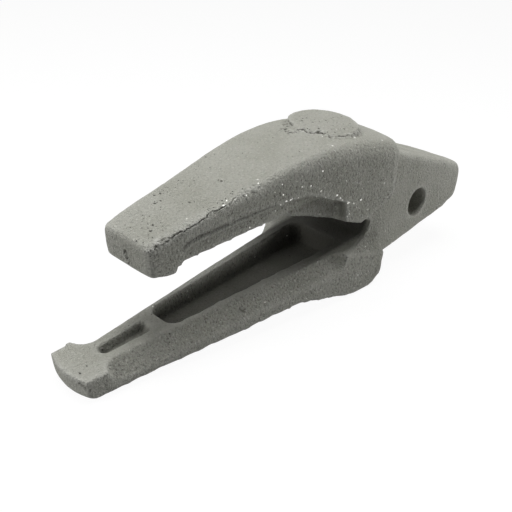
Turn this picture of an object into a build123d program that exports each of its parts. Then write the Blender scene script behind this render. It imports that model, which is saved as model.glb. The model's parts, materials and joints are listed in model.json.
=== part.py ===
"""Bucket tooth adapter: one steel casting that straddles a bucket's lip and carries a tooth.

The upper and the lower leg close round the lip plate and are welded to it. The wedge nose
takes the tooth, and a side pin through the bore holds it.

Lengths are millimetres. The part is drawn with the lower leg's bearing face level, X towards
the nose's tip, Z up and the middle plane at Y = 0. All X sizes are measured from the pin's
axis. At the end the casting is laid down the way it rests, on its belly and on its head.
"""
from build123d import *
import os
from math import atan2, cos, degrees, radians, sin, tan

# Nose
pin_bore_diameter = 25.0
nose_width = 68.0
nose_reach = 70.0  # pin axis to the tip
nose_droop = 9.2  # degrees that the nose's axis falls towards its tip
nose_taper = 14.2  # degrees of the top and of the bottom face to that axis
nose_height_at_pin = 69.0
pin_below_middle = 7.0
nose_top_edge_radius = 7.0
nose_bottom_edge_radius = 5.0
nose_tip_radius = 8.0

# Body between the legs and the nose
body_width = 88.0
shoulder_setback = 54.6  # pin axis to the shoulder, along the nose's axis
shoulder_edge_radius = 2.5
cheek_bottom_front = 19.0  # height of the upper cheek's lower edge at the bevel
cheek_bottom_rear = 28.0
cheek_corner_radius = 10.0
ledge_height = 12.5  # the lower cheek's sloping ledge, measured down the side
ledge_rear_height = -7.0
ledge_blend = 0.5

# Slot for the lip
slot_height = 51.5
bearing_face_height = -2.0
throat_setback = 67.0
throat_top_height = 10.0
throat_radius = 9.0
lip_bevel_start = 162.0  # where the slot's ceiling begins to slope down
lip_bevel_radius = 60.0

# Upper leg
upper_leg_reach = 274.5
tip_width = 48.0
tip_top_height = 70.0
rear_top_height = 65.0
crest_apex_setback = 113.0  # where the crest's two straight slopes would meet
crest_apex_height = 93.5
crest_radius = 240.0
crown = 5.5  # rise of the body's top between its two edges
tip_crown = 0.8
tip_edge_radius = 5.0
body_edge_radius = 14.0
tip_round = 5.0
foot_length = 20.5
foot_front_drop = 2.3
foot_rear_drop = 5.2
foot_round = 3.0
cove_front_gap = 1.5  # from the foot's rear face to the cove
cove_front_depth = 2.5
cove_rear_depth = 10.0
cove_top_height = 63.0
cove_bend_setback = 146.0
cove_rear_height = 43.0
cove_rear = 107.0
cove_radius = 7.0
cove_bend_radius = 60.0

# Boss on the top
boss_diameter = 54.0
boss_setback = 86.0
boss_top_height = 92.5
boss_tilt = 5.0
boss_side_tilt = 5.0  # degrees that the top rises towards +Y
boss_dome = 3.4  # rise of the boss's top from its rim to its middle

# Lower leg
lower_leg_reach = 331.0
head_bulge = 4.0
head_width = 41.0
head_thickness = 17.0
head_bottom_chamfer = 4.0
lower_flare_setback = 107.0  # where the leg reaches the body's width
leg_bottom_setback = 152.0
leg_bottom_height = -24.0
belly_front_setback = 98.0
belly_front_height = -43.0
belly_height = -46.5
belly_radius = 60.0
belly_corner_radius = 16.0
weld_bevel_run = 12.5
weld_bevel_drop = 12.0
neck_setback = 312.5
neck_radius = 11.5
bevel_end_radius = 9.0

# Hollow in the lower leg
pocket_front = 255.0
pocket_rear = 92.0
pocket_front_width = 26.0
pocket_rear_width = 49.0
pocket_front_depth = 12.0
pocket_rear_depth = 16.0
pocket_corner_radius = 9.0
pocket_floor_radius = 5.0
pocket_draft = 4.0
recess_front = 304.5
recess_rear = 264.5
recess_front_width = 10.0
recess_rear_width = 14.0
recess_depth = 5.5
recess_taper = 30.0

# Sections of the loft, and points looked at along an outline
upper_sections = 6
outline_steps = 720

# Heights and places that follow from the sizes above
ceiling_height = bearing_face_height + slot_height
foot_front_height = ceiling_height - foot_front_drop
foot_rear_height = ceiling_height - foot_rear_drop
foot_rear = upper_leg_reach - foot_length
half_body = body_width / 2
dome_radius = ((boss_diameter / 2) ** 2 + boss_dome**2) / (2 * boss_dome)
head_front = lower_leg_reach - head_bulge
upper_flare_setback = shoulder_setback + 31.0
lip_bevel_fall = (ceiling_height - throat_top_height) / (lip_bevel_start - throat_setback)
droop = radians(nose_droop)


def shoulder_x(height):
    """Where the shoulder, square to the nose's axis, stands at a height."""
    return (height * sin(droop) - shoulder_setback) / cos(droop)


def bevel_setback(height):
    """Setback at which the sloping ceiling comes down to a height."""
    return lip_bevel_start - (ceiling_height - height) / lip_bevel_fall


def upper_half_width(setback):
    """Half width of the upper leg, which flares in a straight line to the body's width."""
    share = min((upper_leg_reach - setback) / (upper_leg_reach - upper_flare_setback), 1)
    return tip_width / 2 + (half_body - tip_width / 2) * share


def nose_half_height(reach):
    """Half height of the wedge nose at a distance along its axis."""
    return nose_height_at_pin / 2 - reach * tan(radians(nose_taper))


def round_corner(sketch, place, radius):
    """Round the corner of a sketch that lies nearest to a place."""
    fillet(sketch.vertices().sort_by_distance(place)[0], radius)


# Nose and the web behind it, which closes the slot
nose_plane = Plane(origin=(0, 0, 0), x_dir=(cos(droop), 0, -sin(droop)), z_dir=(0, -1, 0))
root_reach = -shoulder_setback - nose_width / 3
root_half_height = nose_half_height(root_reach)
tip_half_height = nose_half_height(nose_reach)
with BuildPart() as nose:
    with BuildSketch(nose_plane) as nose_side:
        with BuildLine():
            Polyline(
                (root_reach, pin_below_middle + root_half_height),
                (nose_reach, pin_below_middle + tip_half_height),
                (nose_reach, pin_below_middle - tip_half_height),
                (root_reach, pin_below_middle - root_half_height),
                close=True,
            )
        make_face()
        round_corner(nose_side, (nose_reach, pin_below_middle + tip_half_height), nose_tip_radius)
    extrude(amount=nose_width / 2, both=True)
    top_face = nose.faces().sort_by_distance((0, 0, body_width))[0]
    fillet(top_face.edges().group_by(SortBy.LENGTH)[-1], nose_top_edge_radius)
    bottom_face = nose.faces().sort_by_distance((0, 0, -body_width))[0]
    fillet(bottom_face.edges() - bottom_face.edges().group_by(Axis.X)[0], nose_bottom_edge_radius)

# Cove for the weld under each side of the upper leg, deeper towards the body
cove_front = foot_rear - cove_front_gap
cove_front_half = upper_half_width(cove_front) - cove_front_depth
cove_rear_half = upper_half_width(cove_rear) - cove_rear_depth
cove_flare = atan2(cove_rear_half - cove_front_half, cove_front - cove_rear)
cove_plane = Plane(
    origin=(-cove_rear, -cove_rear_half, 0),
    x_dir=(cos(cove_flare), -sin(cove_flare), 0),
    z_dir=(-sin(cove_flare), -cos(cove_flare), 0),
)


def along_cove(setback):
    """Distance along the cove's back wall that belongs to a setback from the pin."""
    return (cove_rear - setback) / cos(cove_flare)


with BuildPart() as cove:
    with BuildSketch(cove_plane) as cove_side:
        with BuildLine():
            Polyline(
                (along_cove(cove_front), 0),
                (along_cove(cove_front), cove_top_height),
                (along_cove(cove_bend_setback), cove_top_height),
                (along_cove(cove_rear), cove_rear_height),
                (along_cove(cove_rear), 0),
                close=True,
            )
        make_face()
        round_corner(cove_side, (along_cove(cove_bend_setback), cove_top_height), cove_bend_radius)
        front_corner = (along_cove(cove_front), cove_top_height)
        round_corner(cove_side, front_corner, cove_top_height - ceiling_height)
    extrude(amount=body_width / 2)
    fillet(cove.faces().sort_by(Axis.Y)[-1].edges(), cove_radius)

# Upper leg: sections along its crest, lofted, then cut to the side view
cheek_front = bevel_setback(cheek_bottom_front)
crest_rear = shoulder_setback - nose_width / 3
with BuildLine(Plane.XZ) as crest:
    FilletPolyline(
        (-upper_leg_reach, tip_top_height),
        (-crest_apex_setback, crest_apex_height),
        (-crest_rear, rear_top_height),
        radius=crest_radius,
    )
with BuildPart() as upper_leg:
    for station in range(upper_sections + 1):
        point = crest.line @ (station / upper_sections)
        half_width = upper_half_width(-point.X)
        share = (half_width - tip_width / 2) / (half_body - tip_width / 2)
        edge_radius = tip_edge_radius + (body_edge_radius - tip_edge_radius) * share**2
        rise = tip_crown + (crown - tip_crown) * share
        with BuildSketch(Plane.YZ.offset(point.X)) as section:
            with BuildLine():
                left, right = (-half_width, point.Z), (half_width, point.Z)
                Polyline(left, (-half_width, 0), (half_width, 0), right)
                ThreePointArc(right, (0, point.Z + rise), left)
            make_face()
            fillet(section.vertices().group_by(Axis.Y)[-1], edge_radius)
    loft()
    above = crest_apex_height + body_width
    with BuildSketch(Plane.XZ) as upper_side:
        with BuildLine():
            Polyline(
                (-upper_leg_reach, above),
                (-upper_leg_reach, foot_front_height),
                (-foot_rear, foot_rear_height),
                (-foot_rear, ceiling_height),
                (-lip_bevel_start, ceiling_height),
                (-cheek_front, cheek_bottom_front),
                (shoulder_x(cheek_bottom_rear), cheek_bottom_rear),
                (shoulder_x(above), above),
                close=True,
            )
        make_face()
        round_corner(upper_side, (-lip_bevel_start, ceiling_height), lip_bevel_radius)
        round_corner(upper_side, (shoulder_x(cheek_bottom_rear), cheek_bottom_rear), cheek_corner_radius)
        round_corner(upper_side, (-foot_rear, foot_rear_height), foot_round)
    extrude(amount=body_width, both=True, mode=Mode.INTERSECT)
    fillet(upper_leg.faces().sort_by(Axis.X)[0].edges(), tip_round)
    shoulder_face = upper_leg.faces().sort_by(Axis.X)[-1]
    beside_nose = shoulder_face.edges().filter_by(lambda edge: abs(edge.center().Y) > nose_width / 2)
    fillet(beside_nose, shoulder_edge_radius)
    add(cove.part, mode=Mode.SUBTRACT)
    add(mirror(cove.part, about=Plane.XZ, mode=Mode.PRIVATE), mode=Mode.SUBTRACT)

# Bevel for the weld along each side of the lower leg, from the neck to the body
lower_flare = atan2(half_body - head_width / 2, head_front - lower_flare_setback)
bevel_plane = Plane(
    origin=(-lower_flare_setback, -half_body, bearing_face_height),
    x_dir=(-sin(lower_flare), -cos(lower_flare), 0),
    z_dir=(-cos(lower_flare), sin(lower_flare), 0),
)
with BuildPart() as weld_bevel:
    with BuildSketch(bevel_plane):
        with BuildLine():
            Polyline(
                (-2 * weld_bevel_run, weld_bevel_drop),
                (weld_bevel_run, -2 * weld_bevel_drop),
                (weld_bevel_run, weld_bevel_drop),
                close=True,
            )
        make_face()
    extrude(amount=(neck_setback - lower_flare_setback) / cos(lower_flare))
    for end, radius in ((0, neck_radius), (-1, bevel_end_radius)):
        slope = weld_bevel.faces().filter_by(lambda face: face.normal_at().Z < -0.1)
        fillet(slope.sort_by(SortBy.AREA)[-1].edges().sort_by(Axis.X)[end], radius)

# Hollow in the lower leg, and the shallow recess in front of it
with BuildPart() as pocket:
    with BuildSketch(Plane.XY.offset(bearing_face_height)) as pocket_plan:
        with BuildLine():
            Polyline(
                (-pocket_front, -pocket_front_width / 2),
                (-pocket_rear, -pocket_rear_width / 2),
                (-pocket_rear, pocket_rear_width / 2),
                (-pocket_front, pocket_front_width / 2),
                close=True,
            )
        make_face()
        fillet(pocket_plan.vertices(), pocket_corner_radius)
    extrude(amount=-body_width, taper=pocket_draft)
    with BuildSketch(Plane.XZ) as pocket_side:
        with BuildLine():
            Polyline(
                (-lower_leg_reach, bearing_face_height),
                (-lower_leg_reach, bearing_face_height - pocket_front_depth),
                (-pocket_front, bearing_face_height - pocket_front_depth),
                (-pocket_rear, bearing_face_height - pocket_rear_depth),
                (0, bearing_face_height - pocket_rear_depth),
                (0, bearing_face_height),
                close=True,
            )
        make_face()
    extrude(amount=body_width, both=True, mode=Mode.INTERSECT)
    fillet(pocket.faces().sort_by(Axis.Z)[0].edges(), pocket_floor_radius)
with BuildPart() as recess:
    with BuildSketch(Plane.XY.offset(bearing_face_height)) as recess_plan:
        with BuildLine():
            Polyline(
                (-recess_front, -recess_front_width / 2),
                (-recess_rear, -recess_rear_width / 2),
                (-recess_rear, recess_rear_width / 2),
                (-recess_front, recess_front_width / 2),
                close=True,
            )
        make_face()
        fillet(recess_plan.vertices(), recess_front_width / 2 - 0.5)
    extrude(amount=-recess_depth, taper=recess_taper)

# Lower leg and the lower cheeks: side view, cut to the plan
ledge_rear_x = shoulder_x(ledge_rear_height)
ledge_front_height = bearing_face_height + ledge_height
ledge_fall = (ledge_front_height - ledge_rear_height) / (lower_flare_setback + ledge_rear_x)
ledge_stock = body_width / 2  # the slot cuts off this much of the ledge again
with BuildPart() as lower_leg:
    with BuildSketch(Plane.XZ) as lower_side:
        with BuildLine():
            Polyline(
                (-lower_leg_reach, bearing_face_height),
                (-lower_flare_setback - ledge_stock, bearing_face_height),
                (-lower_flare_setback - ledge_stock, ledge_front_height + ledge_fall * ledge_stock),
                (ledge_rear_x, ledge_rear_height),
                (shoulder_x(belly_height), belly_height),
                (-belly_front_setback, belly_front_height),
                (-leg_bottom_setback, leg_bottom_height),
                (-lower_leg_reach, bearing_face_height - head_thickness),
                close=True,
            )
        make_face()
        round_corner(lower_side, (shoulder_x(belly_height), belly_height), belly_corner_radius)
        round_corner(lower_side, (-belly_front_setback, belly_front_height), belly_radius)
        round_corner(lower_side, (-leg_bottom_setback, leg_bottom_height), belly_radius)
    extrude(amount=half_body, both=True)
    ledge = lower_leg.faces().sort_by_distance((-lower_flare_setback / 2, 0, body_width))[0]
    ledge_edges = ledge.edges().group_by(SortBy.LENGTH)[-1].sort_by(Axis.Y)
    ledge_run = half_body - nose_width / 2 + ledge_blend
    chamfer(ledge_edges, ledge_run, length2=ledge_height, reference=ledge)
    with BuildSketch(Plane.XY.offset(-body_width)) as plan:
        with BuildLine():
            ThreePointArc(
                (-head_front, -head_width / 2),
                (-lower_leg_reach, 0),
                (-head_front, head_width / 2),
            )
            Polyline(
                (-head_front, head_width / 2),
                (-lower_flare_setback, half_body),
                (0, half_body),
                (0, -half_body),
                (-lower_flare_setback, -half_body),
                (-head_front, -head_width / 2),
            )
        make_face()
    extrude(amount=2 * body_width, mode=Mode.INTERSECT)
    front = lower_leg.faces().sort_by(Axis.X)[0]
    chamfer(front.edges().sort_by(Axis.Z)[0], head_bottom_chamfer)
    add(weld_bevel.part, mode=Mode.SUBTRACT)
    add(mirror(weld_bevel.part, about=Plane.XZ, mode=Mode.PRIVATE), mode=Mode.SUBTRACT)
    add(pocket.part, mode=Mode.SUBTRACT)
    add(recess.part, mode=Mode.SUBTRACT)

# Boss on the top, slightly domed and out of level
boss_plane = Plane(
    origin=(-boss_setback, 0, boss_top_height),
    x_dir=(cos(radians(boss_tilt)), 0, -sin(radians(boss_tilt))),
    z_dir=(0, -1, 0),
).rotated((boss_side_tilt, 0, 0))
with BuildPart() as boss:
    with BuildSketch(boss_plane):
        with BuildLine():
            Polyline(
                (0, 0),
                (0, -boss_diameter / 2),
                (boss_diameter / 2, -boss_diameter / 2),
                (boss_diameter / 2, -boss_dome),
            )
            RadiusArc((boss_diameter / 2, -boss_dome), (0, 0), -dome_radius)
        make_face()
    revolve(axis=Axis(boss_plane.origin, boss_plane.y_dir))

# The casting: nose, legs and boss in one, with the slot and the bore cut through
with BuildPart() as adapter:
    add(nose.part)
    add(upper_leg.part)
    add(lower_leg.part)
    add(boss.part)
    with BuildSketch(Plane.XZ) as slot:
        with BuildLine():
            Polyline(
                (-2 * lower_leg_reach, bearing_face_height),
                (-throat_setback, bearing_face_height),
                (-throat_setback, throat_top_height),
                (-lip_bevel_start, ceiling_height),
                close=True,
            )
        make_face()
        round_corner(slot, (-throat_setback, bearing_face_height), throat_radius)
    extrude(amount=body_width, both=True, mode=Mode.SUBTRACT)
    with BuildSketch(Plane.XZ):
        Circle(pin_bore_diameter / 2)
    extrude(amount=body_width, both=True, mode=Mode.SUBTRACT)

# Laid down to rest on the belly and on the head's heel: nothing of the belly reaches
# below the line from the heel that falls most steeply
heel = Vector(-lower_leg_reach + head_bottom_chamfer, 0, bearing_face_height - head_thickness)
outline = lower_side.sketch.face().outer_wire()
points = [outline @ (step / outline_steps) for step in range(outline_steps)]
belly = [point for point in points if point.X > -leg_bottom_setback]
rest_tilt = max(atan2(heel.Z - point.Z, point.X - heel.X) for point in belly)
resting = adapter.part.rotate(Axis.Y, -degrees(rest_tilt))
resting.label = "adapter"
os.makedirs("parts", exist_ok=True)
export_step(resting, "parts/adapter.step")
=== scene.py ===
"""Looks of a cast steel bucket tooth adapter: the skin of the casting, its finish and the studio."""

import json
import logging
import math
from dataclasses import dataclass, replace
from enum import Enum
from functools import partial
from typing import Any, ClassVar, Optional, Union

import bmesh
import bpy
import numpy as np
from mathutils import Matrix, Vector


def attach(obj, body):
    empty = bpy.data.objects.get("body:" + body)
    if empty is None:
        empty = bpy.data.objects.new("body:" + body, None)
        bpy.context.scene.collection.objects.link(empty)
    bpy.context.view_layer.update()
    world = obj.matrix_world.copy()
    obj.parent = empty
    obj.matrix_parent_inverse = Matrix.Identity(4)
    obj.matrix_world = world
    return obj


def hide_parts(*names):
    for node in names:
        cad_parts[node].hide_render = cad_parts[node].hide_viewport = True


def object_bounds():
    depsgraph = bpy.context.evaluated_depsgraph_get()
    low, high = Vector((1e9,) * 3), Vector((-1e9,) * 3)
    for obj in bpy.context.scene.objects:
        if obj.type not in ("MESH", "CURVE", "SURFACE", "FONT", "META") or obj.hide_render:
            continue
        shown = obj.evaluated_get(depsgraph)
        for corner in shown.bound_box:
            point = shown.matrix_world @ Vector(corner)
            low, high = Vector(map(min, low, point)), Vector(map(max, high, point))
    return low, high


log = logging.getLogger("adapter")
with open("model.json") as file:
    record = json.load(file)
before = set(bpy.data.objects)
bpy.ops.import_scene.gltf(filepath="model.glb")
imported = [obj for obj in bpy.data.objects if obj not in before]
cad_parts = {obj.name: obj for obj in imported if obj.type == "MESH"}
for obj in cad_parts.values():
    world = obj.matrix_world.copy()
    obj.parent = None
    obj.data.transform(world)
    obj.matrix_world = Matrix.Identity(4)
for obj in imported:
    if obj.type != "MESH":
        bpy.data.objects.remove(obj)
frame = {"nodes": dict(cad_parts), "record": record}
CAD_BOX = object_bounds()

MM = 0.001
FLOOR_MM = CAD_BOX[0][2] / MM
Point = tuple[float, float, float]
Colour = tuple[float, float, float]
Span = tuple[float, float, float]
WHITE = (1.0, 1.0, 1.0, 1.0)


class Zone(Enum):
    """Vertex attributes that carry a worked surface to the finish."""

    # Painted shade in the cracks and pits, which are also rougher
    CREVICE = "crevice"
    # Painted highlights on the scars' lips and crumbs
    SCAR_HIGHLIGHT = "burr"
    GROUND = "ground"
    # Painted shade in the pocket, the recess and the slot
    PAINTED_SHADE = "hollow"
    PITTED = "pitted"
    COARSE = "coarse"
    # Painted highlights on outward edges and painted shade in inward corners
    EDGE = "edge"
    SPATTER = "spatter"


# Building blocks


def add_node(tree: bpy.types.NodeTree, kind: str, settings: dict[str, Any], inputs: dict[Any, Any]) -> Any:
    """Add a node to a tree.

    Args:
        tree: The tree.
        kind: The node's type.
        settings: Its properties, set before its inputs.
        inputs: Values or sockets for its inputs, by name or index.

    Returns:
        The node.
    """
    made = tree.nodes.new(kind)
    for key, value in settings.items():
        setattr(made, key, value)
    for key, value in inputs.items():
        if isinstance(value, bpy.types.NodeSocket):
            tree.links.new(value, made.inputs[key])
        else:
            made.inputs[key].default_value = value
    return made


def in_scene(name: str, data: bpy.types.ID) -> bpy.types.Object:
    """Make an object and put it in the scene.

    Args:
        name: Its name.
        data: Its mesh, light or camera.

    Returns:
        The object.
    """
    made = bpy.data.objects.new(name, data)
    bpy.context.scene.collection.objects.link(made)
    return made


def made_plain(draft: bpy.types.Object, name: str) -> bpy.types.Object:
    """Turn a draft with its modifiers into a plain piece.

    Args:
        draft: The draft, which is removed.
        name: The piece's name.

    Returns:
        The piece.
    """
    shown = draft.evaluated_get(bpy.context.evaluated_depsgraph_get())
    mesh = bpy.data.meshes.new_from_object(shown)
    mesh.name = name
    bpy.data.objects.remove(draft)
    return in_scene(name, mesh)


def dress(piece: bpy.types.Object, finish: bpy.types.Material) -> None:
    """Give a piece one material and smooth shading.

    Args:
        piece: The piece.
        finish: Its material.
    """
    mesh = piece.data
    mesh.materials.clear()
    mesh.materials.append(finish)
    mesh.polygons.foreach_set("material_index", [0] * len(mesh.polygons))
    mesh.polygons.foreach_set("use_smooth", [True] * len(mesh.polygons))
    log.info("%s: %d triangles", piece.name, sum(len(p.vertices) - 2 for p in mesh.polygons))


class Val:
    """A socket that can be used in Python expressions; each operator adds a Math node."""

    def __init__(self, shop: "Shop", socket: bpy.types.NodeSocket) -> None:
        """Wrap a socket of the tree that a shop builds."""
        self.shop = shop
        self.socket = socket

    def _math(self, operation: str, *values: Union["Val", float]) -> "Val":
        """Add a Math node whose inputs are sockets or numbers."""
        return self.shop.node("ShaderNodeMath", {"operation": operation}, dict(enumerate(values)))

    def __add__(self, other: Union["Val", float]) -> "Val":
        """Add."""
        return self._math("ADD", self, other)

    def __radd__(self, other: float) -> "Val":
        """Add to a number."""
        return self._math("ADD", other, self)

    def __sub__(self, other: Union["Val", float]) -> "Val":
        """Subtract."""
        return self._math("SUBTRACT", self, other)

    def __rsub__(self, other: float) -> "Val":
        """Subtract from a number."""
        return self._math("SUBTRACT", other, self)

    def __mul__(self, other: Union["Val", float]) -> "Val":
        """Multiply."""
        return self._math("MULTIPLY", self, other)

    def most(self, other: Union["Val", float]) -> "Val":
        """The larger of two values."""
        return self._math("MAXIMUM", self, other)

    def step(self, low: float, high: float) -> "Val":
        """Blend smoothly from 0 to 1.

        Args:
            low: Where the blend is 0.
            high: Where it is 1; it may be below low.

        Returns:
            The blend.
        """
        values = {"Value": self, "From Min": min(low, high), "From Max": max(low, high)}
        blend = self.shop.node("ShaderNodeMapRange", {"interpolation_type": "SMOOTHSTEP"}, values)
        return blend if low < high else 1 - blend


class Shop:
    """Builds one material's node tree."""

    def __init__(self, name: str) -> None:
        """Start a material with an empty tree.

        Args:
            name: The material's name.
        """
        self.material = bpy.data.materials.new(name)
        self.material.use_nodes = True
        self.tree = self.material.node_tree
        self.tree.nodes.clear()

    def node(
        self,
        kind: str,
        settings: dict[str, Any],
        inputs: dict[Union[int, str], Any],
        output: Union[int, str] = 0,
    ) -> Val:
        """Add a node.

        Args:
            kind: The node's type.
            settings: Its properties, set before its inputs.
            inputs: Values or links for its sockets, by name or index.
            output: The socket that is returned.

        Returns:
            The chosen output.
        """
        plain = {key: value.socket if isinstance(value, Val) else value for key, value in inputs.items()}
        return Val(self, add_node(self.tree, kind, settings, plain).outputs[output])

    def place(self) -> Val:
        """The surface's place in the object's own frame, in metres."""
        return self.node("ShaderNodeTexCoord", {}, {}, "Object")

    def stretched(self, at: Val, scale: Point, turn: float = 0.0) -> Val:
        """Scale a place along each axis and turn it about Y, in radians."""
        values = {"Vector": at, "Rotation": (0.0, turn, 0.0), "Scale": scale}
        return self.node("ShaderNodeMapping", {}, values)

    def noise(self, at: Val, size_mm: float, detail: float, rough: float, warp: float = 0.0) -> Val:
        """Noise from 0 to 1.

        Args:
            at: The place.
            size_mm: Size of its largest features.
            detail: Number of finer layers.
            rough: Share of each finer layer.
            warp: How far it is bent out of shape.

        Returns:
            The noise.
        """
        values = {"Vector": at, "Scale": 1 / (size_mm * MM), "Detail": detail, "Roughness": rough}
        return self.node("ShaderNodeTexNoise", {}, {**values, "Distortion": warp})

    def attribute(self, zone: Zone) -> Val:
        """The share of a worked zone at the surface."""
        return self.node("ShaderNodeAttribute", {"attribute_name": zone.value}, {}, "Fac")

    def dots(self, at: Val, cell_mm: float, radius: float, share: Val) -> Val:
        """Scattered round dots, one in some of the cells.

        Args:
            at: The place.
            cell_mm: Size of a cell.
            radius: Radius of a dot, as a share of the cell.
            share: Share of the cells that hold one.

        Returns:
            1 in a dot, else 0.
        """
        inputs = {"Vector": at, "Scale": 1 / (cell_mm * MM)}
        gap = self.node("ShaderNodeTexVoronoi", {}, inputs)
        colour = self.node("ShaderNodeTexVoronoi", {}, inputs, "Color")
        lot = self.node("ShaderNodeSeparateColor", {}, {"Color": colour})
        return gap.step(radius, radius * 0.55) * (share - lot).step(0.0, 0.04)

    def mix(self, share: Val, one: Union[Val, Colour], other: Union[Val, Colour]) -> Val:
        """Mix two colours: the first where the share is 0, the other where it is 1."""
        first, second = (value if isinstance(value, Val) else (*value, 1.0) for value in (one, other))
        return self.node("ShaderNodeMix", {"data_type": "RGBA"}, {0: share, 6: first, 7: second}, 2)

    def finish(self, surface: Val) -> bpy.types.Material:
        """Link a shader to the output, which finishes the material."""
        add_node(self.tree, "ShaderNodeOutputMaterial", {}, {"Surface": surface.socket})
        return self.material


# Finishes


def gained(share: Val, gain: tuple[float, float]) -> Val:
    """A gain that grows with a share."""
    return share * gain[0] + gain[1]


@dataclass(frozen=True)
class CastSteel:
    """Bare sand-cast steel, blasted clean: grey with a faint green tint, matt and grainy."""

    name: str = "cast_steel"
    pale: Colour = (0.480, 0.480, 0.429)
    dull: Colour = (0.384, 0.384, 0.330)
    # The colours of the painted shade and of the painted highlights
    dark: Colour = (0.030, 0.029, 0.021)
    bright: Colour = (0.66, 0.66, 0.61)
    cloud_mm: float = 34.0
    grain_mm: float = 0.9
    speck_mm: float = 1.3
    streak_mm: float = 1.2
    streak_stretch: Point = (1.0, 1.0, 0.10)
    streak_turn: float = 0.18
    leather_mm: float = 1.6
    leather_stretch: Point = (1.0, 1.0, 0.82)
    leather_turn: float = -0.8
    pit_mm: float = 3.4
    pit_stretch: Point = (1.0, 0.55, 1.0)
    small_pit_mm: float = 2.04
    # Where and how strongly the leather's grooves get painted shade and its crowns painted highlights
    groove_shade_level: float = 0.47
    groove_shade_gain: tuple[float, float] = (2.6, 0.9)
    crown_highlight_level: float = 0.55
    crown_highlight_gain: tuple[float, float] = (5.4, 2.8)
    grain_height: float = 0.8
    leather_height: float = 3.0
    streak_height: float = 1.2
    # Shares of the painted highlights and of the painted shade
    edge_light_share: float = 0.45
    scar_highlight_share: float = 0.85
    painted_shade_share: float = 0.62
    crevice_shade_share: float = 0.96
    pit_shade_share: float = 0.85
    roughness: float = 0.60
    sheen: float = 0.35

    def material(self) -> bpy.types.Material:
        """Build the material.

        Returns:
            The material for the casting's skin.
        """
        shop = Shop(self.name)
        at = shop.place()
        zones = {zone: shop.attribute(zone) for zone in Zone if zone is not Zone.SPATTER}
        coarse, edge = zones[Zone.COARSE], zones[Zone.EDGE]

        cloud = shop.noise(at, self.cloud_mm, 3, 0.5)
        slanted = shop.stretched(at, self.leather_stretch, self.leather_turn)
        leather = shop.noise(slanted, self.leather_mm, 3, 0.6, 0.4)
        grain = shop.noise(at, self.grain_mm, 2, 0.6)
        speck = shop.noise(at, self.speck_mm, 1, 0.5)
        drawn_out = shop.stretched(at, self.streak_stretch, self.streak_turn)
        streaks = shop.noise(drawn_out, self.streak_mm, 2, 0.6)
        pit = self._pits(shop, at, zones[Zone.PITTED])

        # Clouded grey, then painted shade in the leather's grooves and painted highlights on its crowns
        tone = shop.mix((cloud * 0.65 + grain * 0.35).step(0.30, 0.70), self.dull, self.pale)
        groove = (self.groove_shade_level - leather).most(0.0) * gained(coarse, self.groove_shade_gain)
        tone = shop.mix(groove, tone, self.dark)
        crown_highlight = (leather * 0.5 + speck * 0.5 - self.crown_highlight_level).most(0.0) * gained(coarse, self.crown_highlight_gain)
        tone = shop.mix(crown_highlight, tone, self.bright)

        # Painted highlights and painted shade, and last the painted shade in what is open and deep
        # Painted highlights on outward edges, painted shade in inward corners
        tone = shop.mix(edge.most(0.0) * self.edge_light_share, tone, self.bright)
        tone = shop.mix((0.0 - edge).most(0.0) * self.edge_light_share, tone, self.dark)
        # Painted highlights on the scars' lips and crumbs
        tone = shop.mix(zones[Zone.SCAR_HIGHLIGHT] * self.scar_highlight_share, tone, self.bright)
        # Painted shade in the pocket, the recess and the slot
        tone = shop.mix(zones[Zone.PAINTED_SHADE] * self.painted_shade_share, tone, self.dark)
        # Painted shade in the cracks and the gas pits
        crevice_and_pit_shade = (zones[Zone.CREVICE] * self.crevice_shade_share).most(pit * self.pit_shade_share)
        tone = shop.mix(crevice_and_pit_shade, tone, self.dark)

        # Fine relief: grain, leather, the grinder's streaks and the pits
        height = grain * self.grain_height + leather * (coarse * self.leather_height + 1.0)
        height = height + zones[Zone.GROUND] * streaks * self.streak_height - pit
        relief = shop.node("ShaderNodeBump", {}, {"Strength": 1.0, "Distance": MM, "Height": height})
        rough = self.roughness + grain * 0.18 + zones[Zone.CREVICE] * 0.1
        skin = {"Base Color": tone, "Roughness": rough, "Specular IOR Level": self.sheen, "Normal": relief}
        return shop.finish(shop.node("ShaderNodeBsdfPrincipled", {}, skin))

    def _pits(self, shop: Shop, at: Val, pitted: Val) -> Val:
        """Open gas pits, larger and smaller ones, on a share of the skin: 1 in a pit, else 0."""
        large = shop.dots(shop.stretched(at, self.pit_stretch), self.pit_mm, 0.22, pitted * 0.55)
        return large.most(shop.dots(at, self.small_pit_mm, 0.26, pitted * 0.42))


@dataclass(frozen=True)
class SpatterMetal:
    """Small frozen drops of bright metal."""

    name: str = "spatter_metal"
    shine: Colour = (0.86, 0.86, 0.82)
    shade: Colour = (0.50, 0.50, 0.46)
    mottle_mm: float = 4.0
    roughness: float = 0.32
    metal: float = 0.9

    def material(self) -> bpy.types.Material:
        """Build the material.

        Returns:
            The drops' material.
        """
        shop = Shop(self.name)
        mottle = shop.noise(shop.place(), self.mottle_mm, 2, 0.5)
        tone = shop.mix(mottle.step(0.35, 0.6), self.shade, self.shine)
        skin = {"Base Color": tone, "Roughness": self.roughness, "Metallic": self.metal}
        return shop.finish(shop.node("ShaderNodeBsdfPrincipled", {}, skin))


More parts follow.
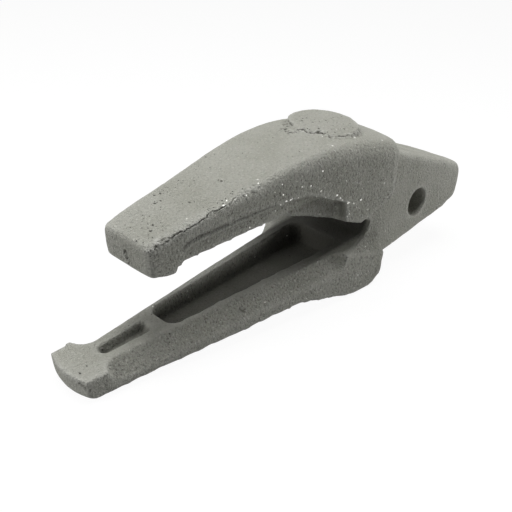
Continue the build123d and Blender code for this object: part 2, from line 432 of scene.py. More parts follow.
@dataclass(frozen=True)
class PaleFloor:
    """Plain pale floor that the camera sees as white, with the object's shadow on it."""

    name: str = "pale_floor"
    seen: Colour = (0.95, 0.95, 0.95)
    lit: Colour = (0.42, 0.42, 0.42)
    shadow_share: float = 0.09
    glow: float = 1.04

    def material(self) -> bpy.types.Material:
        """Build the material.

        Returns:
            The floor's material.
        """
        shop = Shop(self.name)
        rays = ("Is Camera Ray", "Is Glossy Ray", "Is Transmission Ray")
        camera, glossy, passing = (shop.node("ShaderNodeLightPath", {}, {}, ray) for ray in rays)
        seen = camera.most(glossy).most(passing)
        cloth = shop.node("ShaderNodeBsdfDiffuse", {}, {"Color": shop.mix(seen, self.lit, self.seen)})
        white = shop.node("ShaderNodeEmission", {}, {"Color": WHITE, "Strength": self.glow})
        whiteness = seen * (1 - self.shadow_share)
        return shop.finish(shop.node("ShaderNodeMixShader", {}, {0: whiteness, 1: cloth, 2: white}))


# Skin maths

SEED_SHIFT = 17.31
HASH = (73856093, 19349663, 83492791, 1274126177)


def lattice_noise(points: np.ndarray, size: float, seed: int) -> np.ndarray:
    """Smooth noise from -1 to 1 on a cubic lattice.

    Args:
        points: Places, one row each, in mm.
        size: Edge of a lattice cell, in mm.
        seed: Picks the pattern.

    Returns:
        One value for each place.
    """
    grid = points / size + seed * SEED_SHIFT
    base = np.floor(grid).astype(np.int64)
    part = grid - base
    part = part * part * (3 - 2 * part)
    total = np.zeros(len(points))
    for dx in (0, 1):
        for dy in (0, 1):
            for dz in (0, 1):
                corner = base + (dx, dy, dz)
                key = corner[:, 0] * HASH[0] ^ corner[:, 1] * HASH[1] ^ corner[:, 2] * HASH[2]
                key = (key ^ (key >> 13)) * HASH[3] & 0x7FFFFFFF
                value = ((key ^ (key >> 16)) & 0xFFFF) / 32767.5 - 1
                weight = (
                    (part[:, 0] if dx else 1 - part[:, 0])
                    * (part[:, 1] if dy else 1 - part[:, 1])
                    * (part[:, 2] if dz else 1 - part[:, 2])
                )
                total += weight * value
    return total


def distance_to_path(points: np.ndarray, path: np.ndarray) -> tuple[np.ndarray, np.ndarray]:
    """Distance from each place to a path of straight runs.

    Args:
        points: Places, one row each.
        path: The path's points.

    Returns:
        The distances, and how far along the path the nearest place lies, from 0 to 1.
    """
    best = np.full(len(points), 1e9)
    along = np.zeros(len(points))
    lengths = np.linalg.norm(np.diff(path, axis=0), axis=1)
    reached = np.concatenate([[0], np.cumsum(lengths)]) / lengths.sum()
    for start, end, first, last in zip(path[:-1], path[1:], reached[:-1], reached[1:]):
        run = end - start
        share = np.clip((points - start) @ run / (run @ run), 0, 1)
        gap = np.linalg.norm(points - start - share[:, None] * run, axis=1)
        nearer = gap < best
        best[nearer] = gap[nearer]
        along[nearer] = (first + (last - first) * share)[nearer]
    return best, along


def drawn(points: np.ndarray) -> np.ndarray:
    """Turn places into the frame in which the slot's lower face is level.

    Args:
        points: Places, one row each, in mm.

    Returns:
        The turned places.
    """
    mounts = {mount["name"]: mount for mount in frame["record"]["mounts"]}
    up = mounts["lip_lower_face"]["axis"]
    turned = points.copy()
    turned[:, 0] = points[:, 0] * up[2] - points[:, 2] * up[0]
    turned[:, 2] = points[:, 0] * up[0] + points[:, 2] * up[2]
    return turned


def between(values: np.ndarray, low: float, high: float, soft: float) -> np.ndarray:
    """1 where values lie between two bounds, falling to 0 over a soft edge outside them."""
    return np.clip(1 - np.maximum(low - values, values - high) / soft, 0, 1)


def ramp(values: np.ndarray, gain: float, offset: float) -> np.ndarray:
    """Values times the gain, less the offset, held between 0 and 1."""
    return np.clip(values * gain - offset, 0, 1)


def off_path(points: np.ndarray, path: tuple[Point, ...]) -> np.ndarray:
    """Distance from each place to a path."""
    return distance_to_path(points, np.array(path))[0]


@dataclass(frozen=True)
class Patch:
    """A part of the skin, bounded by soft-edged spans: low, high and softness, in mm."""

    share: float = 1.0
    x: Optional[Span] = None
    y: Optional[Span] = None
    z: Optional[Span] = None
    above_mm: float = -math.inf

    def on(self, points: np.ndarray) -> np.ndarray:
        """How strongly the patch covers each place.

        Args:
            points: Places, one row each, in mm.

        Returns:
            One value for each place, from 0 to the patch's share.
        """
        cover = (points[:, 2] > self.above_mm).astype(float)
        for axis, span in enumerate((self.x, self.y, self.z)):
            if span is not None:
                cover = cover * between(points[:, axis], *span)
        return cover * self.share


@dataclass(frozen=True)
class Scar:
    """A crack, lap, cut or ridge that runs over the skin along a short path; sizes are in mm."""

    path: tuple[Point, ...]
    seed: int
    half_width: float = 0.45
    depth: float = 0.8
    lip: float = 0.25
    ragged: float = 0.6
    # Strength of the painted shade in the groove and of the painted highlights on the lips and crumbs; pits
    # is the painted shade in the small pits
    dark: float = 1.0
    bright: float = 0.3
    crumbs: float = 0.0
    spread: float = 2.2
    pits: float = 0.0

    # Sizes of the noises that make a scar irregular
    STRAY_MM: ClassVar[tuple[float, float]] = (1.9, 0.8)
    OPENING_MM: ClassVar[float] = 4.0
    CHIP_MM: ClassVar[float] = 1.3
    CRUMB_MM: ClassVar[float] = 1.5

    # Where a scar ends, and which scars need a finer mesh
    TAPER: ClassVar[float] = 0.05
    REACH_MM: ClassVar[float] = 6.0
    FINE_SPREAD_MM: ClassVar[float] = 2.2
    BROAD_MM: ClassVar[float] = 1.4

    def mirrored(self, seed: int) -> "Scar":
        """The same scar on the casting's other side, with noises of its own."""
        return replace(self, path=tuple((x, -y, z) for x, y, z in self.path), seed=seed)

    def near(self, points: np.ndarray, reach: float) -> np.ndarray:
        """Find the places that need a finer mesh for the scar.

        Args:
            points: Places, one row each.
            reach: Factor on the scar's own reach.

        Returns:
            Whether each place is near; never for a broad scar.
        """
        if self.half_width >= self.BROAD_MM:
            return np.zeros(len(points), dtype=bool)
        width = min(self.spread, self.FINE_SPREAD_MM) + self.half_width + 1.0
        return off_path(points, self.path) < width * reach

    def work(self, points: np.ndarray, zones: dict[Zone, np.ndarray]) -> np.ndarray:
        """Work the scar into the skin.

        Args:
            points: The skin's points, in mm.
            zones: Attributes, which the scar adds to.

        Returns:
            How far each point moves outwards, in mm.
        """
        coarse, fine = self.STRAY_MM
        stray = np.stack([lattice_noise(points, coarse, self.seed + k) for k in range(3)], axis=1)
        stray += 0.5 * np.stack([lattice_noise(points, fine, self.seed + 3 + k) for k in range(3)], axis=1)
        gap, along = distance_to_path(points + self.ragged * stray, np.array(self.path))
        ends = np.clip(np.minimum(along, 1 - along) / self.TAPER, 0, 1)
        ends = np.where(gap < self.REACH_MM, ends, 0)

        # The groove opens and closes along its way, with chipped lips beside it; the groove gets painted
        # shade and the lips painted highlights
        openness = np.clip(0.85 + 0.6 * lattice_noise(points, self.OPENING_MM, self.seed + 6), 0.35, 1.3)
        groove = np.exp(-((gap / (self.half_width * openness)) ** 2)) * ends
        chips = 0.5 + 0.5 * lattice_noise(points, self.CHIP_MM, self.seed + 7)
        lips = np.exp(-(((gap - 2.2 * self.half_width) / (1.2 * self.half_width)) ** 2)) * chips * ends

        # Crumbs of metal and small pits are strewn round it; the pits get painted shade and the crumbs
        # painted highlights
        band = np.exp(-((gap / self.spread) ** 2)) * np.minimum(ends + 0.3, 1)
        crumb = lattice_noise(points, self.CRUMB_MM, self.seed + 8) * band
        pitting = np.clip((-crumb - 0.18) * 3 * self.pits, 0, 0.85)
        shining = np.clip((crumb - 0.08) * 3.5, 0, 1) * self.bright * (self.crumbs > 0)
        zones[Zone.CREVICE] = np.maximum.reduce([zones[Zone.CREVICE], groove * self.dark, pitting])
        zones[Zone.SCAR_HIGHLIGHT] = np.maximum.reduce([zones[Zone.SCAR_HIGHLIGHT], lips * self.bright, shining])
        return self.lip * lips - self.depth * groove + self.crumbs * crumb


class Scars(Enum):
    """The casting's own flaws, in the places where they lie."""

    EDGE_TEAR = Scar(
        path=(
            (-262.8, -25.6, 42.6), (-260.5, -25.3, 44.5), (-255.6, -25.4, 46.3), (-254.6, -26.1, 45.6),
            (-249.6, -26.4, 47.2), (-243.0, -27.2, 48.5), (-240.2, -26.8, 50.1), (-236.3, -27.3, 50.9),
            (-234.0, -26.2, 52.6), (-224.3, -28.1, 54.3), (-217.9, -29.0, 55.6), (-212.0, -28.2, 58.3),
            (-209.1, -28.0, 59.3),
        ),
        seed=110, half_width=0.42, depth=1.2, lip=0.6, bright=0.75, crumbs=0.45, spread=2.6, pits=0.3,
    )
    TIP_RIDGE = Scar(
        path=((-278.9, -21.9, 39.8), (-275.0, -24.3, 39.6), (-270.3, -23.9, 42.6), (-263.3, -25.6, 42.4)),
        seed=130, half_width=0.3, depth=0.4, lip=0.6, dark=0.5, bright=1.0,
        crumbs=1.2, spread=3.6, pits=0.4,
    )
    TEAR_END = Scar(
        path=((-209.1, -28.0, 59.3), (-203.0, -29.4, 60.2), (-193.0, -30.6, 62.2)),
        seed=150, half_width=0.3, depth=0.3, lip=0.4, dark=0.4, bright=0.7,
        crumbs=0.7, spread=3.2, pits=0.5,
    )
    BOSS_CRACK = Scar(
        path=(
            (-132.5, -1.7, 78.1), (-129.8, -1.8, 78.4), (-123.4, -0.4, 78.8), (-121.1, -2.0, 79.2),
            (-122.5, -9.1, 78.6), (-119.9, -12.1, 78.5), (-116.3, -12.7, 78.7), (-113.3, -18.5, 77.9),
        ),
        seed=170, half_width=0.75, depth=1.3, lip=0.5, bright=0.9, crumbs=0.9, spread=4.2, pits=0.8,
    )
    BOSS_RIM = Scar(
        path=(
            (-113.3, -18.5, 77.9), (-112.9, -22.4, 77.4), (-109.2, -25.0, 77.0), (-103.8, -26.2, 76.6),
            (-95.2, -26.9, 75.8), (-87.7, -25.8, 75.2), (-76.2, -20.2, 74.3),
        ),
        seed=190, half_width=0.6, depth=0.8, lip=0.55, dark=0.8, bright=0.9,
        crumbs=0.8, spread=3.4, pits=0.6,
    )
    BOSS_GOUGE = Scar(
        path=((-114.4, 19.5, 81.0), (-119.0, 11.9, 80.0), (-121.1, 7.6, 78.8)),
        seed=210, half_width=1.0, depth=0.9, lip=0.2, dark=0.75, bright=0.2,
        crumbs=0.4, spread=3.0, pits=0.6,
    )
    CREST_GOUGES = Scar(
        path=((-119.1, 19.2, 77.8), (-124.7, 12.0, 78.3), (-131.7, 6.4, 78.1), (-133.0, -3.0, 77.9)),
        seed=230, half_width=0.5, depth=0.5, lip=0.1, dark=0.5, bright=0.1,
        crumbs=0.5, spread=3.6, pits=0.8,
    )
    TIP_CRACK = Scar(
        path=((-279.3, 0.7, 31.9), (-278.9, 0.5, 27.6), (-278.6, -2.1, 25.1), (-278.4, -2.9, 20.5)),
        seed=250, half_width=0.65, depth=1.4, lip=0.35, ragged=0.4, bright=0.6,
        crumbs=0.7, spread=3.5, pits=0.5,
    )
    TIP_BRANCH = Scar(
        path=((-278.9, -0.6, 28.5), (-278.6, -5.2, 24.9), (-278.4, -6.0, 22.0)),
        seed=270, half_width=0.35, depth=0.4, lip=0.1, dark=0.5, bright=0.1,
    )
    BEVEL_NICK = Scar(
        path=((-203.4, -26.2, -28.2), (-202.5, -28.6, -30.5), (-199.3, -28.9, -30.1)),
        seed=290, half_width=0.8, depth=0.7, lip=0.2, dark=0.7, bright=0.2,
    )
    BEVEL_SEAM = Scar(
        path=((-188.5, -34.9, -33.7), (-179.3, -36.0, -34.3), (-162.1, -37.8, -34.8)),
        seed=310, half_width=0.7, depth=-0.2, lip=0.2, dark=0.0, bright=0.5, ragged=0.4,
    )
    HEEL_CHIP = Scar(
        path=((-327.0, -13.9, -39.6), (-325.5, -18.2, -40.6), (-322.3, -20.7, -42.6)),
        seed=330, half_width=1.3, depth=0.9, lip=0.2, dark=0.3, bright=0.5, crumbs=0.5,
    )
    NOSE_NICK = Scar(
        path=((35.4, -34.0, -14.8), (36.4, -34.0, -17.2)),
        seed=350, half_width=0.9, depth=0.8, lip=0.2, dark=0.8, bright=0.2,
    )
    PARTING_LINE = Scar(
        path=((25.5, -34.0, 29.0), (35.4, -34.0, -14.8)),
        seed=370, half_width=0.8, depth=-0.3, lip=0.1, ragged=0.25, dark=0.0, bright=0.3,
    )
    SHOULDER_BURR = Scar(
        path=((-53.9, -43.4, 31.5), (-56.6, -44.3, 27.2), (-61.0, -44.2, 22.4)),
        seed=390, half_width=0.7, depth=0.5, lip=0.6, dark=0.6, bright=0.9, crumbs=0.5, spread=1.6,
    )
    COVE_BURR = Scar(
        path=((-111.4, -41.8, 31.3), (-109.5, -42.0, 25.7), (-107.3, -42.2, 20.0), (-105.0, -42.4, 14.5)),
        seed=410, half_width=0.4, depth=0.2, lip=0.5, dark=0.4, bright=1.0, crumbs=0.8, spread=1.8,
    )
    CREASE = Scar(
        path=(
            (-256.0, -26.3, 33.0), (-249.4, -27.1, 36.9), (-242.2, -28.0, 39.0), (-232.8, -29.0, 40.5),
            (-222.7, -30.1, 41.3), (-202.2, -32.2, 43.5), (-189.8, -33.5, 44.1), (-176.0, -35.0, 44.0),
        ),
        seed=450, half_width=1.6, depth=1.5, lip=0.3, ragged=0.25, dark=0.6, bright=0.5,
    )
    FAR_CREASE = CREASE.mirrored(seed=470)
    LEDGE_PITS = Scar(
        path=((-107.5, -38.0, -14.2), (-106.2, -43.0, -13.8), (-106.6, -43.7, -18.0)),
        seed=430, half_width=0.5, depth=0.4, lip=0.2, dark=0.5, bright=0.4,
        crumbs=0.5, spread=2.4, pits=0.5,
    )


# Pieces


@dataclass
class Casting:
    """The whole casting: the modelled solid with a sand-cast skin."""

    node: str = "adapter"
    voxel_mm: float = 1.45
    fair_passes: int = 4
    fair_shares: tuple[float, float] = (0.5, -0.52)
    refine_reaches: tuple[float, float] = (0.95, 0.6)
    edge_mm: float = 0.12
    edge_passes: int = 2
    lumps_mm: tuple[tuple[float, float, int], ...] = ((22.0, 0.22, 1), (9.0, 0.14, 2), (4.5, 0.10, 3))
    leather_mm: tuple[float, float, int] = (2.6, 0.07, 4)
    bore_radius_mm: float = 12.5
    bore_margin_mm: float = 1.5
    bore_share: float = 0.15
    clearance_mm: float = 0.05

    # The slot, the pocket and the recess, in the drawing's frame
    bearing_mm: float = -2.0
    ceiling_mm: float = 49.5
    throat_mm: float = -67.0
    pocket_mm: tuple[float, float] = (-255.0, -92.0)
    pocket_half_mm: tuple[float, float] = (13.0, 24.5)
    recess_mm: tuple[float, float] = (-304.5, -264.5)
    recess_half_mm: float = 6.5

    # Painted shade: where it sets in and over what length, and how strong it is
    pocket_rear_mm: tuple[float, float] = (-150.0, 40.0)
    slot_deep_mm: tuple[float, float] = (-175.0, 60.0)
    slot_side_mm: tuple[float, float] = (33.5, 5.0)
    rear_shade: float = 0.45
    recess_shade: float = 0.3
    slot_shade: float = 1.45

    # Leathery skin: its share on each kind of place, and where these places lie
    level_share: float = 0.22
    bevel_share: float = 0.6
    tip_face_share: float = 0.6
    nose_loss: float = 0.45
    nose_mm: Span = (-52.0, 80.0, 2.0)
    lower_leg_mm: Span = (-60.0, -1.0, 2.0)
    sloping: Span = (0.35, 0.85, 0.1)
    tip_front_mm: float = -250.0

    # What is rounded as cast, and in how many passes: the nose's end, the bottom and the tip
    softened: tuple[tuple[Patch, int], ...] = (
        (Patch(x=(54.0, 100.0, 8.0)), 55),
        (Patch(z=(-100.0, FLOOR_MM + 5.0, 4.0)), 14),
        (Patch(x=(-400.0, -272.0, 6.0), above_mm=5.0), 9),
    )

    # What a grinder has dressed
    beside_shoulder: Patch = Patch(x=(-52.0, -38.0, 8.0), z=(-14.0, 22.0, 8.0))
    cheek_edge: Patch = Patch(0.8, x=(-104.0, -78.0, 4.0), z=(8.0, 20.0, 5.0))

    # Gas pits: where they lie, and the share of pitted skin there
    patch_noise: tuple[float, int] = (14.0, 41)
    side_noise: tuple[float, int] = (30.0, 42)
    pit_row: tuple[Point, ...] = ((-276.0, 4.0, 43.0), (-247.0, 8.0, 51.0), (-212.0, 13.0, 61.0))
    pit_row_half_mm: float = 4.5
    pitted_tip: Patch = Patch(0.95, x=(-272.0, -205.0, 12.0))
    boss_centre_mm: float = -95.0
    boss_top_mm: Span = (0.0, 24.0, 2.0)
    boss_foot_mm: Span = (27.0, 34.0, 4.0)
    boss_pits: float = 0.3
    foot_pits: float = 0.6
    top_pits: float = 0.2
    side_pits: float = 0.7

    # Drops of metal: where they lie, and how thickly
    near_cove: tuple[Point, ...] = (
        (-176.0, -36.0, 47.0), (-150.0, -38.5, 46.0), (-130.0, -40.5, 42.0),
        (-111.0, -42.0, 33.0), (-107.0, -42.3, 19.0),
    )
    near_cheek: Patch = Patch(0.028, x=(-190.0, -58.0, 10.0), z=(10.0, 80.0, 4.0))
    near_cove_half_mm: float = 2.8
    near_edge: Patch = Patch(x=(-262.0, -100.0, 8.0), y=(-40.0, -20.0, 4.0), above_mm=20.0)
    near_edge_share: float = 0.08
    near_low: Patch = Patch(0.02, z=(-50.0, -5.0, 3.0))

    def build(self, source: bpy.types.Object, finish: bpy.types.Material) -> bpy.types.Object:
        """Make the casting's skin.

        Args:
            source: The solid's mesh.
            finish: Its material.

        Returns:
            The finished piece.
        """
        piece = self._remeshed(source)
        self._fair(piece.data, self.fair_passes)
        self._soften(piece.data)
        self._mark_edges(piece.data)
        self._refine(piece.data)
        self._work(piece.data)
        dress(piece, finish)
        return piece

    def _remeshed(self, source: bpy.types.Object) -> bpy.types.Object:
        """Copy the solid and give it an even mesh.

        Args:
            source: The solid's object.

        Returns:
            The new object.
        """
        mesh = source.data.copy()
        merged = bmesh.new()
        merged.from_mesh(mesh)
        bmesh.ops.remove_doubles(merged, verts=merged.verts, dist=1e-6)
        merged.to_mesh(mesh)
        merged.free()
        draft = in_scene("casting_draft", mesh)
        even = draft.modifiers.new("even", "REMESH")
        even.mode = "VOXEL"
        even.voxel_size = self.voxel_mm * MM
        return made_plain(draft, "casting")

    @staticmethod
    def _coordinates(mesh: bpy.types.Mesh) -> np.ndarray:
        """The mesh's points, in mm."""
        values = np.empty(len(mesh.vertices) * 3)
        mesh.vertices.foreach_get("co", values)
        return values.reshape(-1, 3) / MM

    @staticmethod
    def _move(mesh: bpy.types.Mesh, points: np.ndarray) -> None:
        """Put the mesh's points at new places, in mm."""
        mesh.vertices.foreach_set("co", (points * MM).ravel())
        mesh.update()

    @staticmethod
    def _normals(mesh: bpy.types.Mesh) -> np.ndarray:
        """The mesh's normals at its points."""
        values = np.empty(len(mesh.vertices) * 3, dtype=np.float32)
        mesh.vertex_normals.foreach_get("vector", values)
        return values.reshape(-1, 3).astype(float)

    @staticmethod
    def _mean_of_neighbours(mesh: bpy.types.Mesh, values: np.ndarray) -> np.ndarray:
        """Average each point's neighbours.

        Args:
            mesh: The mesh.
            values: One row for each point.

        Returns:
            The averages.
        """
        pairs = np.empty(len(mesh.edges) * 2, dtype=np.int32)
        mesh.edges.foreach_get("vertices", pairs)
        first, second = pairs.reshape(-1, 2).T
        size = len(values)
        count = np.bincount(first, minlength=size) + np.bincount(second, minlength=size)
        total = np.empty_like(values)
        for k in range(values.shape[1]):
            onward = np.bincount(first, values[second, k], size)
            total[:, k] = onward + np.bincount(second, values[first, k], size)
        return total / np.maximum(count, 1)[:, None]

    def _fair(self, mesh: bpy.types.Mesh, passes: int) -> None:
        """Even out the mesh without shrinking it.

        Args:
            mesh: The mesh, changed in place.
            passes: Number of passes there and back.
        """
        points = self._coordinates(mesh)
        for _ in range(passes):
            for share in self.fair_shares:
                points += share * (self._mean_of_neighbours(mesh, points) - points)
        self._move(mesh, points)

    def _soften(self, mesh: bpy.types.Mesh) -> None:
        """Round the nose's end, the tip's corners and the bottom edges, as cast.

        Args:
            mesh: The mesh, changed in place.
        """
        points = self._coordinates(mesh)
        reach = points[:, 0].max()
        covers = [(patch.on(points), passes) for patch, passes in self.softened]
        for count in range(max(passes for _, passes in covers)):
            share = np.maximum.reduce([cover * (count < passes) for cover, passes in covers])
            points += 0.5 * share[:, None] * (self._mean_of_neighbours(mesh, points) - points)

        # The nose keeps its length
        nose = covers[0][0]
        points[:, 0] += nose * (reach - points[:, 0].max())
        self._move(mesh, points)

    def _mark_edges(self, mesh: bpy.types.Mesh) -> None:
        """Note where the skin turns round an edge, for painted highlights on outward edges and painted
        shade in inward corners: above 0 outwards, below 0 inwards.

        Args:
            mesh: The mesh, which gets an attribute.
        """
        points = self._coordinates(mesh)
        bulge = points - self._mean_of_neighbours(mesh, points)
        bend = (bulge * self._normals(mesh)).sum(axis=1)[:, None]
        for _ in range(self.edge_passes):
            bend = self._mean_of_neighbours(mesh, bend)
        self._store(mesh, Zone.EDGE, np.clip(bend[:, 0] / self.edge_mm, -1, 1))

    @staticmethod
    def _store(mesh: bpy.types.Mesh, zone: Zone, values: np.ndarray) -> None:
        """Keep one value for each point as an attribute."""
        layer = mesh.attributes.new(zone.value, "FLOAT", "POINT")
        layer.data.foreach_set("value", values.astype(np.float32))

    def _refine(self, mesh: bpy.types.Mesh) -> None:
        """Give the scarred places a finer mesh.

        Args:
            mesh: The mesh, changed in place.
        """
        for reach in self.refine_reaches:
            points = self._coordinates(mesh)
            near = np.zeros(len(points), dtype=bool)
            for scar in Scars:
                near |= scar.value.near(points, reach)
            fine = bmesh.new()
            fine.from_mesh(mesh)
            fine.verts.ensure_lookup_table()
            edges = [e for e in fine.edges if near[e.verts[0].index] and near[e.verts[1].index]]
            bmesh.ops.subdivide_edges(fine, edges=edges, cuts=1, use_grid_fill=True, smooth=0.0)
            fine.to_mesh(mesh)
            fine.free()

    def _work(self, mesh: bpy.types.Mesh) -> None:
        """Give the skin its lumps, scars and attributes.

        Args:
            mesh: The mesh, changed in place.
        """
        points = self._coordinates(mesh)
        normals = self._normals(mesh)
        level = drawn(points)
        zones = {zone: np.zeros(len(points)) for zone in Zone if zone is not Zone.EDGE}
        zones[Zone.COARSE] = self._coarse(level, normals)
        zones[Zone.PAINTED_SHADE] = self._painted_shade(level)
        zones[Zone.GROUND] = self._ground(points, normals)
        zones[Zone.PITTED] = self._pitted(points, normals)
        zones[Zone.SPATTER] = self._spattered(points, normals)
        rise = np.zeros(len(points))
        for size, height, seed in self.lumps_mm:
            rise += height * lattice_noise(points, size, seed)
        size, height, seed = self.leather_mm
        rise += height * zones[Zone.COARSE] * lattice_noise(points, size, seed)
        bored = np.hypot(points[:, 0], points[:, 2]) < self.bore_radius_mm + self.bore_margin_mm
        rise[bored] *= self.bore_share
        for scar in Scars:
            rise += scar.value.work(points, zones)
        moved = points + rise[:, None] * normals
        moved[:, 2] = np.maximum(moved[:, 2], FLOOR_MM + self.clearance_mm)
        self._move(mesh, moved)
        for zone, values in zones.items():
            self._store(mesh, zone, values)

    def _coarse(self, level: np.ndarray, normals: np.ndarray) -> np.ndarray:
        """Where the skin is leathery: on the sides, less on the bevels and the tip's face, least elsewhere.

        Args:
            level: The skin's points in the drawing's frame, in mm.
            normals: Its normals.

        Returns:
            Share of the leathery skin at each point.
        """
        flank = np.abs(normals[:, 1])
        share = self.level_share + (1 - self.level_share) * ramp(flank, 2.2, 0.7)
        lower = between(level[:, 2], *self.lower_leg_mm)
        sloping = between(flank, *self.sloping) * between(normals[:, 2], *self.sloping)
        share = np.maximum(share, self.bevel_share * lower * sloping)
        nose = between(level[:, 0], *self.nose_mm)
        tip_face = ramp(-normals[:, 0], 2, 0.8) * (level[:, 2] > 0) * (level[:, 0] < self.tip_front_mm)
        return np.maximum(share * (1 - self.nose_loss * nose), tip_face * self.tip_face_share)

    def _painted_shade(self, level: np.ndarray) -> np.ndarray:
        """Where shade is painted: in the pocket, a little in the recess, and deep in the slot.

        Args:
            level: The skin's points in the drawing's frame, in mm.

        Returns:
            Share of painted shade at each point.
        """
        x, y, z = level[:, 0], np.abs(level[:, 1]), level[:, 2]

        # The pocket's painted shade grows with its depth, and sooner towards its rear end
        start, length = self.pocket_rear_mm
        rear_end = np.clip((x - start) / length, 0, 1)
        below = np.clip((self.bearing_mm - 0.5 - z) / (12.0 - 11.0 * rear_end), 0, 1)
        front, rear = self.pocket_mm
        half = np.interp(x, self.pocket_mm, self.pocket_half_mm)
        within = between(x, front - 0.3, rear + 0.3, 0.3) * (y < half + 0.4)
        pocket = below * within * (1 + self.rear_shade * rear_end)

        # The recess is shallow
        shallow = np.clip((self.bearing_mm - 0.3 - z) / 2.0, 0, 1)
        recess = shallow * between(x, *self.recess_mm, 0.3) * (y < self.recess_half_mm + 1.5)

        # The slot's painted shade grows towards its throat and away from its open sides
        inside = between(z, self.bearing_mm - 1, self.ceiling_mm + 1, 1.0)
        start, length = self.slot_deep_mm
        deep = np.clip((x - start) / length, 0, 1) * between(x, -400, self.throat_mm + 1.5, 1.0)
        side, width = self.slot_side_mm
        slot = inside * deep * np.clip((side - y) / width, 0, 1)
        return np.maximum.reduce([pocket, recess * self.recess_shade, slot * self.slot_shade])

    def _ground(self, points: np.ndarray, normals: np.ndarray) -> np.ndarray:
        """Where a grinder has dressed the skin: beside the shoulder and at the cheek's lower edge."""
        upright = ramp(np.abs(normals[:, 1]), 3, 2)
        return upright * np.maximum(self.beside_shoulder.on(points), self.cheek_edge.on(points))

    def _pitted(self, points: np.ndarray, normals: np.ndarray) -> np.ndarray:
        """Where gas pits lie open: near the upper leg's tip, on and round the boss, and on the sides.

        Args:
            points: The skin's points, in mm.
            normals: Its normals.

        Returns:
            Share of pitted skin at each point.
        """
        upwards = ramp(normals[:, 2], 3, 1.6)
        patches = ramp(lattice_noise(points, *self.patch_noise), 2.4, 0)
        row = np.clip(1.6 - off_path(points, self.pit_row) / self.pit_row_half_mm, 0, 1)
        tip = self.pitted_tip.on(points) * patches
        from_boss = np.hypot(points[:, 0] - self.boss_centre_mm, points[:, 1])
        boss = between(from_boss, *self.boss_top_mm) * self.boss_pits
        foot = between(from_boss, *self.boss_foot_mm) * patches * self.foot_pits
        top = np.maximum.reduce([row, tip, boss, foot, patches * self.top_pits])
        side = ramp(np.abs(normals[:, 1]), 3, 2) * ramp(lattice_noise(points, *self.side_noise), 1, 0.3)
        return np.maximum(upwards * top, side * self.side_pits)

    def _spattered(self, points: np.ndarray, normals: np.ndarray) -> np.ndarray:
        """Where drops of metal froze on: along the near cove, and thinly over the near side and its edge.

        Args:
            points: The skin's points, in mm.
            normals: Its normals.

        Returns:
            How thickly they lie at each point, from 0 to 1.
        """
        near = ramp(-normals[:, 1], 3, 1)
        cove = np.clip(1 - off_path(points, self.near_cove) / self.near_cove_half_mm, 0, 1)
        edge = self.near_edge.on(points) * np.clip(normals[:, 2], 0, 1) * self.near_edge_share
        cheek = self.near_cheek.on(points)
        low = self.near_low.on(points)
        return np.maximum.reduce([near * cove, near * cheek, edge, near * low])


@dataclass
class Spatter:
    """Drops of metal frozen to the skin, scattered where the skin is marked for them."""

    radius_mm: float = 0.54
    smallest: Point = (0.35, 0.35, 0.3)
    largest: Point = (1.6, 1.6, 1.2)
    thickest: float = 90000.0
    seed: int = 7

    def build(self, skin: bpy.types.Object, finish: bpy.types.Material) -> bpy.types.Object:
        """Scatter the drops over the skin.

        Args:
            skin: The casting's skin, with its attributes.
            finish: The drops' material.

        Returns:
            The finished piece.
        """
        tree = self._tree(finish)
        draft = in_scene("spatter_draft", skin.data.copy())
        scatter = draft.modifiers.new("scatter", "NODES")
        scatter.node_group = tree
        values = {"Radius": self.radius_mm * MM, "Thickest": self.thickest, "Seed": self.seed}
        for socket in tree.interface.items_tree:
            if socket.name in values:
                scatter[socket.identifier] = values[socket.name]
        piece = made_plain(draft, "spatter")
        worked = {zone.value for zone in Zone}
        for name in [layer.name for layer in piece.data.attributes if layer.name in worked]:
            piece.data.attributes.remove(piece.data.attributes[name])
        dress(piece, finish)
        return piece

    def _tree(self, finish: bpy.types.Material) -> bpy.types.NodeTree:
        """Build the scattering tree.

        Args:
            finish: The drops' material.

        Returns:
            The node group.
        """
        tree = bpy.data.node_groups.new("scatter_drops", "GeometryNodeTree")
        wanted = (("Geometry", "Geometry"), ("Radius", "Float"), ("Thickest", "Float"), ("Seed", "Int"))
        for name, kind in wanted:
            tree.interface.new_socket(name, in_out="INPUT", socket_type=f"NodeSocket{kind}")
        tree.interface.new_socket("Geometry", in_out="OUTPUT", socket_type="NodeSocketGeometry")
        node = partial(add_node, tree)
        given = tree.nodes.new("NodeGroupInput").outputs
        spatter = {"Name": Zone.SPATTER.value}
        marked = node("GeometryNodeInputNamedAttribute", {"data_type": "FLOAT"}, spatter)
        factors = {0: marked.outputs["Attribute"], 1: given["Thickest"]}
        thick = node("ShaderNodeMath", {"operation": "MULTIPLY"}, factors)
        places = node(
            "GeometryNodeDistributePointsOnFaces",
            {"distribute_method": "RANDOM"},
            {"Mesh": given["Geometry"], "Density": thick.outputs[0], "Seed": given["Seed"]},
        )
        drop = node("GeometryNodeMeshIcoSphere", {}, {"Radius": given["Radius"], "Subdivisions": 2})
        size = node(
            "FunctionNodeRandomValue",
            {"data_type": "FLOAT_VECTOR"},
            {"Min": self.smallest, "Max": self.largest, "Seed": given["Seed"]},
        )
        spread = node(
            "GeometryNodeInstanceOnPoints",
            {},
            {
                "Points": places.outputs["Points"],
                "Instance": drop.outputs["Mesh"],
                "Rotation": places.outputs["Rotation"],
                "Scale": size.outputs[0],
            },
        )
        real = node("GeometryNodeRealizeInstances", {}, {"Geometry": spread.outputs["Instances"]})
        dressed = node("GeometryNodeSetMaterial", {}, {"Geometry": real.outputs[0], "Material": finish})
        node("NodeGroupOutput", {}, {0: dressed.outputs[0]})
        return tree


# Studio


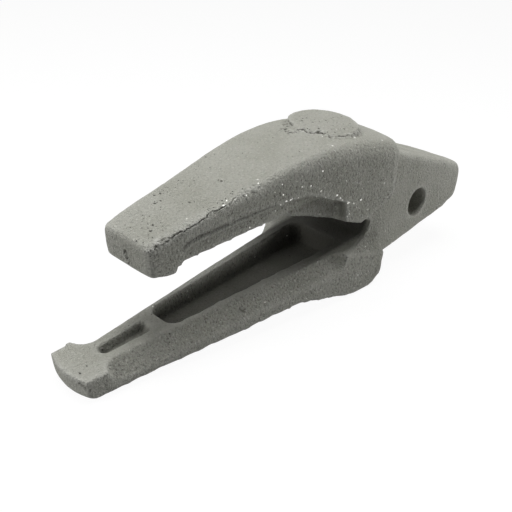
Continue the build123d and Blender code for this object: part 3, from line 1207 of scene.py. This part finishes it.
@dataclass(frozen=True)
class Lamp:
    """A square soft lamp."""

    name: str
    place: Point
    aim: Point
    size: float
    power: float

    def hang(self) -> None:
        """Make the lamp."""
        light = bpy.data.lights.new(self.name, "AREA")
        light.shape, light.size, light.energy = "SQUARE", self.size, self.power
        lamp = in_scene(self.name, light)
        lamp.location = self.place
        lamp.rotation_euler = (Vector(self.aim) - Vector(self.place)).to_track_quat("-Z", "Y").to_euler()


@dataclass
class Studio:
    """Pale floor, soft light and the camera at the photograph's angle."""

    floor_z: float
    camera_place: Point = (-0.512191, -0.335515, 0.238753)
    azimuth: float = 46.2947
    elevation: float = 27.3204
    roll: float = 2.9549
    lens: float = 51.015
    sensor: float = 36.0
    nearest: float = 0.01
    floor_half: float = 6.0
    ambient: float = 0.0
    lamps: tuple[Lamp, ...] = (
        Lamp("lamp_above", (-0.10, 0.10, 1.30), (-0.13, 0.0, 0.0), 0.9, 14.0),
        Lamp("lamp_front", (-1.10, 0.50, 0.50), (-0.13, 0.0, 0.0), 0.6, 5.4),
        Lamp("lamp_side", (0.10, -1.20, 0.12), (-0.13, 0.0, 0.0), 0.6, 2.65),
        Lamp("lamp_right", (0.55, -0.50, 0.15), (-0.05, 0.0, 0.0), 0.3, 1.45),
    )

    def build(self) -> None:
        """Make the floor, the lamps, the world and the camera."""
        self._floor()
        for lamp in self.lamps:
            lamp.hang()
        self._world()
        self._camera()
        bpy.context.scene.view_settings.view_transform = "Standard"

    def _floor(self) -> None:
        """Make the floor."""
        mesh = bpy.data.meshes.new("floor")
        flat = bmesh.new()
        bmesh.ops.create_grid(flat, x_segments=1, y_segments=1, size=self.floor_half)
        for corner in flat.verts:
            corner.co.z = self.floor_z
        flat.to_mesh(mesh)
        flat.free()
        floor = in_scene("floor", mesh)
        mesh.materials.append(PaleFloor().material())

    def _world(self) -> None:
        """Make a world that looks white and lights the casting by the ambient share alone."""
        world = bpy.data.worlds.new("studio")
        bpy.context.scene.world = world
        world.use_nodes = True
        tree = world.node_tree
        tree.nodes.clear()
        node = partial(add_node, tree)
        path = node("ShaderNodeLightPath", {}, {}).outputs
        seen = path["Is Camera Ray"]
        for ray in ("Is Glossy Ray", "Is Transmission Ray"):
            seen = node("ShaderNodeMath", {"operation": "MAXIMUM"}, {0: seen, 1: path[ray]}).outputs[0]
        shaders = {0: seen}
        for slot, strength in ((1, self.ambient), (2, 1.0)):
            sky = node("ShaderNodeBackground", {}, {"Color": WHITE, "Strength": strength})
            shaders[slot] = sky.outputs[0]
        mixed = node("ShaderNodeMixShader", {}, shaders)
        node("ShaderNodeOutputWorld", {}, {"Surface": mixed.outputs[0]})

    def _camera(self) -> None:
        """Make the camera."""
        data = bpy.data.cameras.new("camera")
        data.lens, data.sensor_width, data.clip_start = self.lens, self.sensor, self.nearest
        camera = in_scene("camera", data)
        a, e, r = (math.radians(v) for v in (self.azimuth, self.elevation, self.roll))
        ahead = Vector((math.sin(a) * math.cos(e), math.cos(a) * math.cos(e), -math.sin(e)))
        level = Vector((math.cos(a), -math.sin(a), 0.0))
        above = level.cross(ahead)
        right = level * math.cos(r) + above * math.sin(r)
        up = above * math.cos(r) - level * math.sin(r)
        turn = Matrix((right, up, -ahead)).transposed()
        camera.matrix_world = Matrix.Translation(self.camera_place) @ turn.to_4x4()
        bpy.context.scene.camera = camera


def main() -> None:
    """Build the casting and the studio, and report each piece."""
    logging.basicConfig(level=logging.INFO, format="%(name)s: %(message)s")
    casting = Casting()
    skin = casting.build(frame["nodes"][casting.node], CastSteel().material())
    drops = Spatter().build(skin, SpatterMetal().material())
    for piece in (skin, drops):
        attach(piece, "root")
    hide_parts(casting.node)
    Studio(floor_z=CAD_BOX[0][2]).build()


if __name__ == "__main__":
    main()
